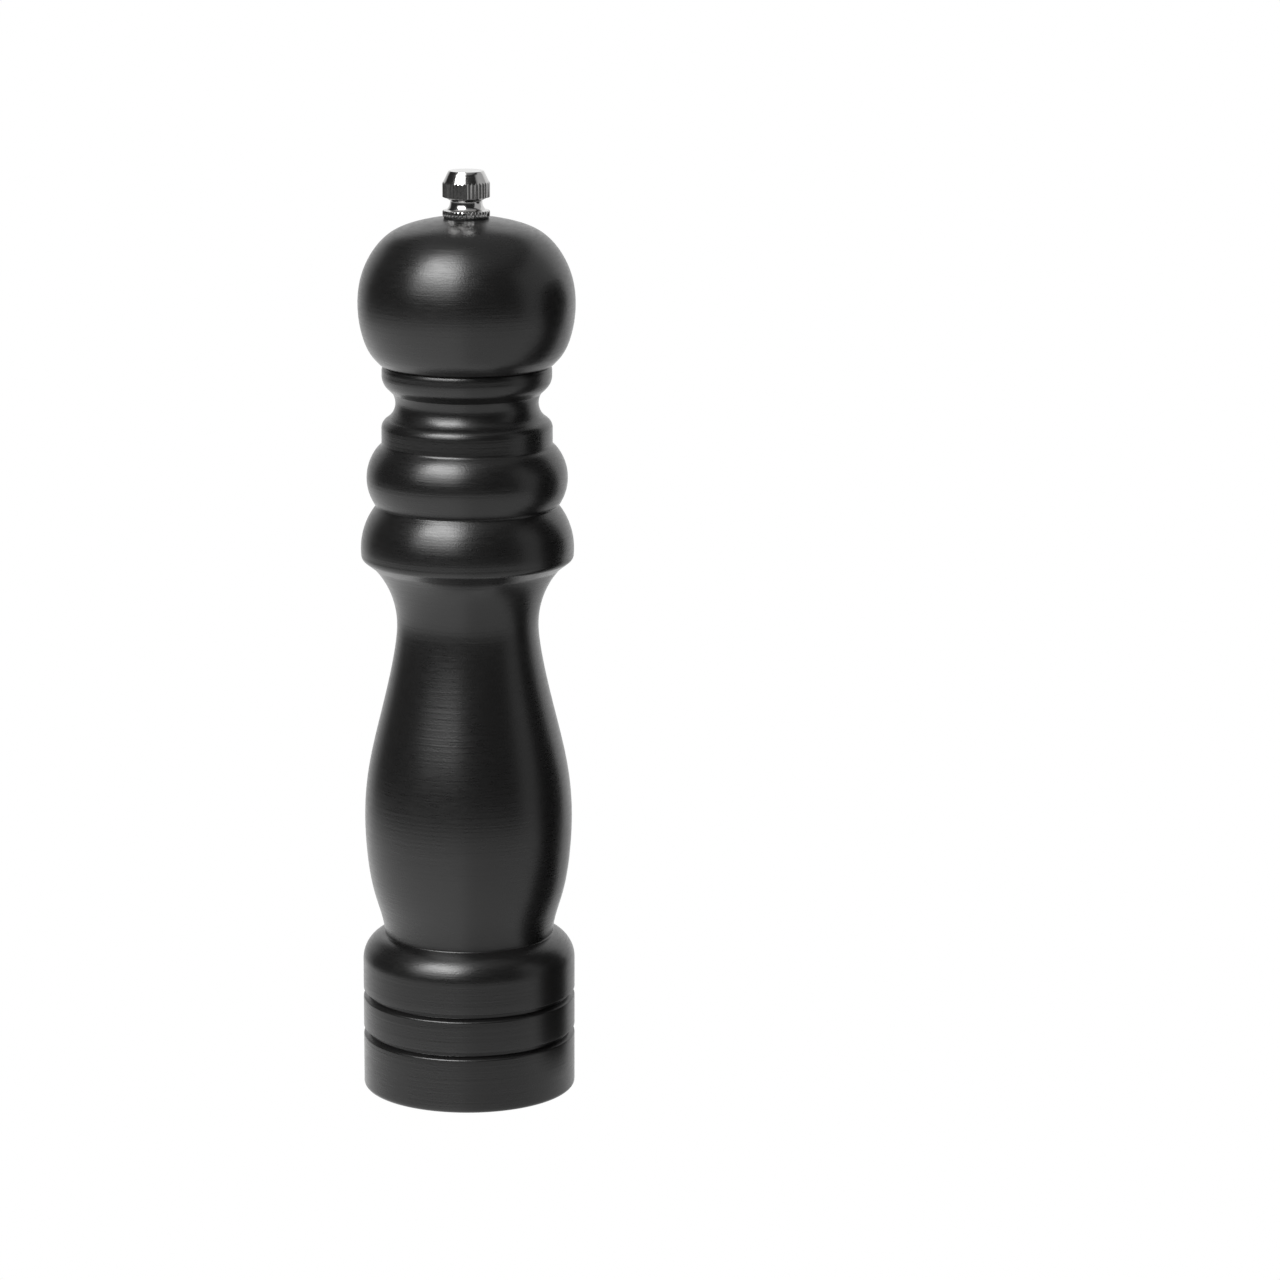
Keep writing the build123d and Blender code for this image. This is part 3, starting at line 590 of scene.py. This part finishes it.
MATERIALS = {
    "black_lacquer": black_lacquer(),
    "bare_wood": bare_wood(),
    "polished_steel": metal(
        "polished_steel", (0.53, 0.525, 0.52), (0.48, 0.475, 0.47), 0.13, (90, 90, 7000), 0.0003, 0.03
    ),
    "black_fibre": moulded("black_fibre", (0.012, 0.012, 0.012), (0.02, 0.02, 0.019), 0.6),
    "brass": metal("brass", (0.78, 0.52, 0.20), (0.62, 0.40, 0.15), 0.22, (60, 60, 5000), 0.002),
    "steel_plate": metal(
        "steel_plate", (0.56, 0.56, 0.57), (0.48, 0.48, 0.49), 0.26, (4500, 140, 140), 0.002
    ),
    "zinc_screw": metal(
        "zinc_screw", (0.60, 0.60, 0.60), (0.46, 0.47, 0.50), 0.28, (900, 900, 900), 0.004
    ),
    "shaft_aluminium": metal(
        "shaft_aluminium", (0.72, 0.72, 0.73), (0.62, 0.62, 0.63), 0.24, (5200, 5200, 60), 0.002
    ),
    "black_nylon": moulded("black_nylon", (0.018, 0.018, 0.019), (0.026, 0.026, 0.026), 0.42),
    "bridge_zinc": metal(
        "bridge_zinc", (0.50, 0.50, 0.51), (0.40, 0.40, 0.41), 0.38, (1400, 1400, 1400), 0.012
    ),
    "white_ceramic": moulded(
        "white_ceramic", (0.80, 0.79, 0.76), (0.74, 0.73, 0.69), 0.34, 0.006, 1.6, 0.3
    ),
    "white_nylon": moulded("white_nylon", (0.74, 0.73, 0.69), (0.66, 0.65, 0.60), 0.40),
    "spring_steel": metal(
        "spring_steel", (0.50, 0.50, 0.52), (0.36, 0.36, 0.38), 0.20, (3000, 3000, 3000), 0.002
    ),
}


# ---- wooden parts --------------------------------------------------------------------------------
LACQUER_ROWS_INSIDE = 3


def make_wooden(name, outside, inside, body, replaced):
    """A turned piece: lacquer on the outside and over its edge, bare wood beyond."""
    materials = [MATERIALS["black_lacquer"], MATERIALS["bare_wood"]]
    made = lathe(name, outside + inside[1:-1], materials, [len(outside) + LACQUER_ROWS_INSIDE])
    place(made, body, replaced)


# ---- finial nut and its washer -------------------------------------------------------------------
KNURL_TEETH = 36
KNURL_DEPTH = 0.27
KNURL_CREST_SHARE = 0.1
KNURL_STEPS = 8
NUT_FLANGE_Z = 250.2
NUT_WAIST_R = 4.5
NUT_WAIST_Z = (252.4, 252.9)
NUT_WAIST_ARC_R = 2.5
NUT_WAIST_ARC_DEG = 50.0
NUT_UNDERCUT = (5.6, 253.5)
NUT_KNURL_LOW_Z = 253.95
NUT_CONE_Z = 257.7
NUT_FACE_R = 4.9
NUT_CHAMFER = 0.13
NUT_CHAMFER_STEEPNESS = 2.3
NUT_BORE_R = 2.56
NUT_BORE_DEPTH = 10.0
NUT_BORE_TIP_H = 0.8
NUT_BORE_CHAMFER = 0.4
NUT_WAIST_FILLET = 0.25
NUT_TOP_EDGE_R = 0.12
NUT_TOP_EDGE_IN = 0.16
NUT_TOP_FACE_IN = 0.4
CHAMFER_MIN = 0.01
WASHER_BORE_R = 2.8
WASHER_EDGE_R = 0.12


def knurl_radius(step):
    """Radius of the knurl at one of the steps of a tooth: a narrow flat ridge, then a V valley."""
    share = abs(((step / KNURL_STEPS) + 0.5) % 1.0 - 0.5) * 2
    return NUT_R - KNURL_DEPTH * max(0.0, share - KNURL_CREST_SHARE) / (1 - KNURL_CREST_SHARE)


def nut_column(ridge_r):
    """The nut's outline where the knurl has this radius."""

    def on_line(low, high, radius=ridge_r):
        share = (radius - low[0]) / (high[0] - low[0])
        return radius, low[1] + share * (high[1] - low[1])

    waist_low, waist_high = ((NUT_WAIST_R, z) for z in NUT_WAIST_Z)
    waist_centre = (NUT_WAIST_R + NUT_WAIST_ARC_R, NUT_WAIST_Z[0])
    waist = joined(
        circle_arc(waist_centre, NUT_WAIST_ARC_R, 180 + NUT_WAIST_ARC_DEG, 180, 6),
        straight(waist_low, waist_high),
        NUT_WAIST_FILLET,
        straight(waist_high, NUT_UNDERCUT),
    )
    chamfer_r = min(ridge_r - CHAMFER_MIN, NUT_R - NUT_CHAMFER)
    chamfer_top = on_line(waist[0], (NUT_R, NUT_FLANGE_Z), chamfer_r)
    chamfer_fall = max(CHAMFER_MIN, ridge_r - NUT_R + NUT_CHAMFER) * NUT_CHAMFER_STEEPNESS
    knurl_low = on_line(NUT_UNDERCUT, (NUT_R, NUT_KNURL_LOW_Z))
    knurl_top = on_line((NUT_FACE_R, NUT_TOP_Z), (NUT_R, NUT_CONE_Z))
    cone = np.linspace(knurl_top, (NUT_FACE_R, NUT_TOP_Z), 9)[1:-1]
    edge_centre = (NUT_FACE_R - NUT_TOP_EDGE_IN, NUT_TOP_Z - NUT_TOP_EDGE_R)
    edge = circle_arc(edge_centre, NUT_TOP_EDGE_R, 20, 90, 24)
    face = [(radius, NUT_TOP_Z) for radius in np.linspace(NUT_FACE_R - NUT_TOP_FACE_IN, 0.0, 12)]
    bore_top_z = NUT_LOW_Z + NUT_BORE_DEPTH
    return [
        (0.0, bore_top_z + NUT_BORE_TIP_H),
        (NUT_BORE_R, bore_top_z),
        (NUT_BORE_R, NUT_LOW_Z + NUT_BORE_CHAMFER),
        (NUT_BORE_R + NUT_BORE_CHAMFER, NUT_LOW_Z),
        (chamfer_r, NUT_LOW_Z),
        (ridge_r, NUT_LOW_Z + chamfer_fall),
        (ridge_r, chamfer_top[1] - chamfer_fall),
        chamfer_top,
        *waist,
        knurl_low,
        knurl_top,
        *[tuple(q) for q in cone],
        *edge,
        *face,
    ]


def make_nut():
    count = KNURL_TEETH * KNURL_STEPS
    columns = []
    for j in range(count):
        angle = 2 * math.pi * j / count
        columns.append([around(r, angle, z) for r, z in nut_column(knurl_radius(j % KNURL_STEPS))])
    made = grid_mesh("finial_nut_knurled", columns, False, [MATERIALS["polished_steel"]], None, 24)
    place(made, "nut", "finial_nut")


def make_washer():
    outline = joined(
        straight((WASHER_BORE_R, HEAD_TOP_Z), (WASHER_R, HEAD_TOP_Z)),
        WASHER_EDGE_R,
        straight((WASHER_R, HEAD_TOP_Z), (WASHER_R, NUT_LOW_Z)),
        WASHER_EDGE_R,
        straight((WASHER_R, NUT_LOW_Z), (WASHER_BORE_R, NUT_LOW_Z)),
    )
    made = lathe("nut_washer_punched", outline, [MATERIALS["black_fibre"]], segments=96)
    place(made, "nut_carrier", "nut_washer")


# ---- shaft ---------------------------------------------------------------------------------------
SHAFT_EDGE = 0.6
SHAFT_CHAMFER = 0.3
SHAFT_BAR_ROWS = 24
SHAFT_THREAD_LOW_Z = 235.6
SHAFT_HOLE_R = 2.06
SHAFT_HOLE_DEPTH = 12.0
THREAD_R = 2.5
THREAD_PITCH = 0.8
THREAD_DEPTH = 0.43
THREAD_ROWS_PER_PITCH = 12
THREAD_END_CHAMFER = 0.5
THREAD_CREST_SHARE = 0.15


def shaft_section():
    """Angles round the shaft, and the radius of its square bar with rounded edges at each."""
    edge_centre = SHAFT_HALF - SHAFT_EDGE
    flat_deg = math.degrees(math.atan2(edge_centre, SHAFT_HALF))
    section = []
    for quarter in range(4):
        for deg in np.linspace(-flat_deg, flat_deg, 11):
            section.append((90 * quarter + deg, SHAFT_HALF / math.cos(math.radians(deg))))
        for x, y in circle_arc((edge_centre, edge_centre), SHAFT_EDGE, 0, 90, 15)[1:-1]:
            section.append((90 * quarter + math.degrees(math.atan2(y, x)), math.hypot(x, y)))
    return [(math.radians(deg), radius) for deg, radius in section]


def thread_radius(angle, height):
    """Radius of a right-hand V thread with flattened crests, chamfered at its upper end."""
    share = (height / THREAD_PITCH - angle / (2 * math.pi)) % 1.0
    slope = max(0.0, abs(2 * share - 1) - THREAD_CREST_SHARE) / (1 - THREAD_CREST_SHARE)
    depth = THREAD_DEPTH * slope
    return min(THREAD_R - depth, THREAD_R - THREAD_END_CHAMFER + SHAFT_TOP_Z - height)


def make_shaft():
    thread_h = SHAFT_TOP_Z - SHAFT_THREAD_LOW_Z
    rows = math.ceil(thread_h / THREAD_PITCH * THREAD_ROWS_PER_PITCH)
    thread = np.linspace(SHAFT_THREAD_LOW_Z, SHAFT_TOP_Z, rows + 1)
    bar = np.linspace(SHAFT_LOW_Z, SHAFT_THREAD_LOW_Z, SHAFT_BAR_ROWS)[1:-1]
    bar = [SHAFT_LOW_Z + SHAFT_CHAMFER, *bar, SHAFT_THREAD_LOW_Z - SHAFT_CHAMFER]
    hole_top_z = SHAFT_LOW_Z + SHAFT_HOLE_DEPTH
    columns = []
    for angle, bar_r in shaft_section():
        column = [(0, hole_top_z), (SHAFT_HOLE_R, hole_top_z), (SHAFT_HOLE_R, SHAFT_LOW_Z)]
        column.append((bar_r - SHAFT_CHAMFER, SHAFT_LOW_Z))
        column += [(bar_r, z) for z in bar]
        column.append((bar_r - SHAFT_CHAMFER, SHAFT_THREAD_LOW_Z))
        column += [(thread_radius(angle, z), z) for z in thread]
        column.append((0, SHAFT_TOP_Z))
        columns.append([around(r, angle, z) for r, z in column])
    made = grid_mesh("shaft_threaded", columns, False, [MATERIALS["shaft_aluminium"]], None, 30)
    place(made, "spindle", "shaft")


# ---- burrs ---------------------------------------------------------------------------------------
FINE_TEETH = 48
TOOTH_STEPS = 8
TOOTH_TWIST = math.radians(3.5)
CARRIER_BORE_R = 6.06
CARRIER_TOP_Z = 16.0
SHAFT_CLEAR_R = 4.4
BURR_ROW_SPACING = 0.9
TOOTH_SLOPE_SHARE = 0.8
# Corners of the two rings: radius, height, depth of the fine teeth and depth of the flutes.
ROTOR = {
    "bore": (CARRIER_BORE_R, ROTOR_LOW_Z, 0, 0),
    "low_edge": (12.1, ROTOR_LOW_Z, 0, 0),
    "fine_low": (12.75, ROTOR_LOW_Z + 0.35, 0.55, 0),
    "fine_knee": (12.75, 7.9, 0.55, 0),
    "fine_high": (10.85, 12.1, 0.35, 0),
    "step": (9.6, 13.2, 0.0, 0.9),
    "neck": (6.5, ROTOR_TOP_Z - 0.8, 0, 0.6),
    "top": (6.1, ROTOR_TOP_Z, 0, 0),
    "top_bore": (SHAFT_CLEAR_R, ROTOR_TOP_Z, 0, 0),
    "ledge": (SHAFT_CLEAR_R, CARRIER_TOP_Z, 0, 0),
    "ledge_out": (CARRIER_BORE_R, CARRIER_TOP_Z, 0, 0),
}
STATOR = {
    "low": (STATOR_R, STATOR_LOW_Z, 0, 0),
    "high": (STATOR_R, STATOR_TOP_Z - 0.4, 0, 0),
    "high_edge": (STATOR_R - 0.4, STATOR_TOP_Z, 0, 0),
    "mouth": (11.9, STATOR_TOP_Z, 0, 0.9),
    "mouth_low": (11.5, STATOR_TOP_Z - 0.6, 0, 1.1),
    "throat": (11.2, 12.1, 0.35, 0.4),
    "fine_knee": (13.1, 7.9, 0.55, 0),
    "fine_low": (13.1, STATOR_LOW_Z + 0.3, 0.55, 0),
    "low_edge": (13.7, STATOR_LOW_Z, 0, 0),
}
ROTOR_FLUTES = 8
STATOR_GROOVES = 12


def saw_tooth(share):
    """Depth along one tooth: a long slope, then a steep return."""
    if share < TOOTH_SLOPE_SHARE:
        return share / TOOTH_SLOPE_SHARE
    return (1 - share) / (1 - TOOTH_SLOPE_SHARE)


def make_burr(name, outline, flutes, outward, body, replaced):
    """A ring of ceramic with fine teeth and flutes, cut outwards from the axis (1) or towards it (-1)."""
    corners = [np.array(corner, float) for corner in outline.values()]
    rows = []
    for here, after in zip(corners, corners[1:] + corners[:1]):
        count = max(1, round(np.linalg.norm((after - here)[:2]) / BURR_ROW_SPACING))
        rows += [here + (after - here) * k / count for k in range(count)]
    count = FINE_TEETH * TOOTH_STEPS
    columns = []
    for j in range(count):
        fine = saw_tooth(j / TOOTH_STEPS % 1)
        wide = saw_tooth(j * flutes / count % 1)
        column = []
        for radius, height, fine_depth, wide_depth in rows:
            angle = 2 * math.pi * j / count + TOOTH_TWIST * (height - STATOR_LOW_Z)
            cut = fine * fine_depth + wide * wide_depth
            column.append(around(radius + outward * cut, angle, height))
        columns.append(column)
    made = grid_mesh(name, columns, True, [MATERIALS["white_ceramic"]], None, 28)
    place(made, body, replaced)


# ---- spring --------------------------------------------------------------------------------------
SPRING_WIRE_R = 0.55
SPRING_MEAN_R = 5.25
SPRING_TURNS = 5.5
SPRING_CLOSED_TURNS = 0.8
SPRING_CLOSED_PITCH = 2.1 * SPRING_WIRE_R
SPRING_SIDES = 12
SPRING_STEPS_PER_TURN = 36


def spring_height(turns):
    """Height of the wire's centre: closed turns at both ends, and an even pitch between."""
    low, high = SPRING_LOW_Z + SPRING_WIRE_R, SPRING_TOP_Z - SPRING_WIRE_R
    closed_rise = SPRING_CLOSED_PITCH * SPRING_CLOSED_TURNS
    marks = [0, SPRING_CLOSED_TURNS, SPRING_TURNS - SPRING_CLOSED_TURNS, SPRING_TURNS]
    return np.interp(turns, marks, [low, low + closed_rise, high - closed_rise, high])


def make_spring():
    count = round(SPRING_TURNS * SPRING_STEPS_PER_TURN)
    rings = []
    for i in range(count + 1):
        turns = i / SPRING_STEPS_PER_TURN
        angle = 2 * math.pi * turns
        height = spring_height(turns)
        ring = []
        for k in range(SPRING_SIDES):
            out, up = on_circle((SPRING_MEAN_R, height), SPRING_WIRE_R, 360 * k / SPRING_SIDES)
            ring.append(around(out, angle, up))
        rings.append(ring)
    start = around(SPRING_MEAN_R, 0, spring_height(0))
    end = around(SPRING_MEAN_R, 2 * math.pi * SPRING_TURNS, spring_height(SPRING_TURNS))
    columns = [[start, *[ring[k] for ring in rings], end] for k in range(SPRING_SIDES)]
    made = grid_mesh("spring_wound", columns, False, [MATERIALS["spring_steel"]], None, 50)
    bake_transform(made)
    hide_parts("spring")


make_wooden("body_turned", body_outside(), body_inside(), "mill_body", "body")
make_wooden("head_turned", head_outside(), head_inside(), "head_unit", "head")
make_nut()
make_washer()
make_shaft()
make_burr("rotor_burr_cut", ROTOR, ROTOR_FLUTES, -1, "spindle", "rotor_burr")
make_burr("stator_burr_cut", STATOR, STATOR_GROOVES, 1, "mill_body", "stator_burr")
make_spring()

# ---- CAD pieces that keep their shape ------------------------------------------------------------
REPLACED = {"body", "head", "finial_nut", "nut_washer", "shaft", "rotor_burr", "stator_burr", "spring"}
for subpart in frame["record"]["subparts"]:
    if subpart["node"] in REPLACED:
        continue
    mesh = nodes[subpart["node"]].data
    mesh.materials.clear()
    mesh.materials.append(MATERIALS[subpart["material_slot"]])

# ---- studio --------------------------------------------------------------------------------------
# Panels round the object, seen as directions: azimuth from the camera's side towards +X, elevation,
# half width, half height and edge softness in degrees, then the light they send. Later ones lie in front.
ROOM_LIGHT = 0.03
WHITE = 1.0
PANELS = {
    "backdrop_left": (-170, -22, 36, 44, 14, 0.75),
    "backdrop_right": (147, -12, 59, 52, 14, 1.07),
    "floor": (0, -55, 181, 42, 13, 1.27),
    "floor_right": (80, -43, 84, 29, 6, 0.86),
    "side_panel": (92, 13, 30, 26, 8, 0.58),
    "overhead": (0, 80, 181, 30, 6, 0.34),
    "key_frame": (-38, 46, 26, 30, 6, 3.4),
    "key_softbox": (-38, 48, 26, 13, 14, 14.0),
}
FLOOR_HALF = 3.0
FLOOR_DROP = 0.0002
LENS = 134.0
SENSOR_WIDTH = 36.0
CAMERA_AT = (0.0, -1.3063, 0.4117)
CAMERA_PITCH_DEG = 12.20
CAMERA_YAW_DEG = 2.116
CAMERA_ROLL_DEG = 0.225
FLAG_X = 84.6
FLAG = [
    (30, 0),
    (30, 40),
    (24, 46),
    (29, 80),
    (20, 130),
    (29, 156),
    (20, 196),
    (30, 224),
    (22, 243),
    (0, 248),
]


def panel_mask(tree, direction, azimuth, elevation, half_width, half_height, softness):
    """1 inside a panel of the studio, 0 outside it, with a soft edge between."""
    turned = add_node(
        tree,
        "VectorRotate",
        {"Vector": direction, "Axis": (0, 0, 1), "Angle": -math.radians(azimuth)},
        rotation_type="AXIS_ANGLE",
    ).outputs[0]
    parts = add_node(tree, "SeparateXYZ", {0: turned})
    ahead = calculated(tree, "MULTIPLY", parts.outputs[1], -1.0)
    around_axis = calculated(tree, "ARCTAN2", parts.outputs[0], ahead)
    height = calculated(tree, "ARCSINE", parts.outputs[2])
    masks = []
    for angle, centre, half in ((around_axis, 0, half_width), (height, elevation, half_height)):
        off = calculated(tree, "ABSOLUTE", calculated(tree, "SUBTRACT", angle, math.radians(centre)))
        near, far = math.radians(half + softness / 2), math.radians(half - softness / 2)
        masks.append(between(tree, off, near, far))
    return calculated(tree, "MULTIPLY", *masks)


def make_world():
    world = bpy.data.worlds.new("studio")
    bpy.context.scene.world = world
    world.use_nodes = True
    tree = world.node_tree
    direction = add_node(tree, "TexCoord").outputs["Generated"]
    light = ROOM_LIGHT
    for azimuth, elevation, half_width, half_height, softness, radiance in PANELS.values():
        mask = panel_mask(tree, direction, azimuth, elevation, half_width, half_height, softness)
        layer = add_node(tree, "Mix", {0: mask, 2: light, 3: radiance}, data_type="FLOAT")
        light = layer.outputs[0]
    seen = add_node(tree, "LightPath").outputs["Is Camera Ray"]
    strength = add_node(tree, "Mix", {0: seen, 2: light, 3: WHITE}, data_type="FLOAT").outputs[0]
    tree.links.new(strength, tree.nodes["Background"].inputs["Strength"])
    tree.nodes["Background"].inputs["Color"].default_value = (1, 1, 1, 1)


def make_floor():
    """A white floor that shows to the camera only. The studio's own panels give its reflections."""
    mesh = bpy.data.meshes.new("floor")
    corners = [(x * FLOOR_HALF, y * FLOOR_HALF, 0) for x, y in ((-1, -1), (1, -1), (1, 1), (-1, 1))]
    mesh.from_pydata(corners, [], [(0, 1, 2, 3)])
    floor = bpy.data.objects.new("floor", mesh)
    floor.location.z = -FLOOR_DROP
    bpy.context.scene.collection.objects.link(floor)
    material = bpy.data.materials.new("floor_white")
    material.use_nodes = True
    tree = material.node_tree
    tree.nodes.clear()
    glow = add_node(tree, "Emission", {"Color": (1, 1, 1, 1), "Strength": WHITE})
    clear = add_node(tree, "BsdfTransparent")
    from_below = add_node(tree, "NewGeometry").outputs["Backfacing"]
    surface = add_node(tree, "MixShader", {0: from_below, 1: glow.outputs[0], 2: clear.outputs[0]})
    output = add_node(tree, "OutputMaterial")
    tree.links.new(surface.outputs[0], output.inputs["Surface"])
    mesh.materials.append(material)
    floor.visible_glossy = False
    floor.visible_diffuse = False
    floor.visible_shadow = False
    floor.visible_transmission = False


def make_flag():
    """A matt black flag on the right, as tall as the mill, which shows only in the reflections."""
    material, _, shader = new_material("flag_black")
    shader.inputs["Base Color"].default_value = (0.004, 0.004, 0.004, 1)
    shader.inputs["Roughness"].default_value = 1.0
    shader.inputs["Specular IOR Level"].default_value = 0.0
    flag = lathe("flag", FLAG, [material], segments=48)
    flag.location.x = FLAG_X * MM
    flag.visible_camera = False
    flag.visible_diffuse = False
    flag.visible_shadow = False


def make_camera():
    data = bpy.data.cameras.new("camera")
    data.lens = LENS
    data.sensor_width = SENSOR_WIDTH
    camera = bpy.data.objects.new("camera", data)
    bpy.context.scene.collection.objects.link(camera)
    camera.matrix_world = (
        Matrix.Translation(Vector(CAMERA_AT))
        @ Matrix.Rotation(-math.radians(CAMERA_YAW_DEG), 4, "Z")
        @ Matrix.Rotation(math.pi / 2 - math.radians(CAMERA_PITCH_DEG), 4, "X")
        @ Matrix.Rotation(math.radians(CAMERA_ROLL_DEG), 4, "Z")
    )
    bpy.context.scene.camera = camera


make_world()
make_floor()
make_flag()
make_camera()
bpy.context.scene.view_settings.view_transform = "Standard"
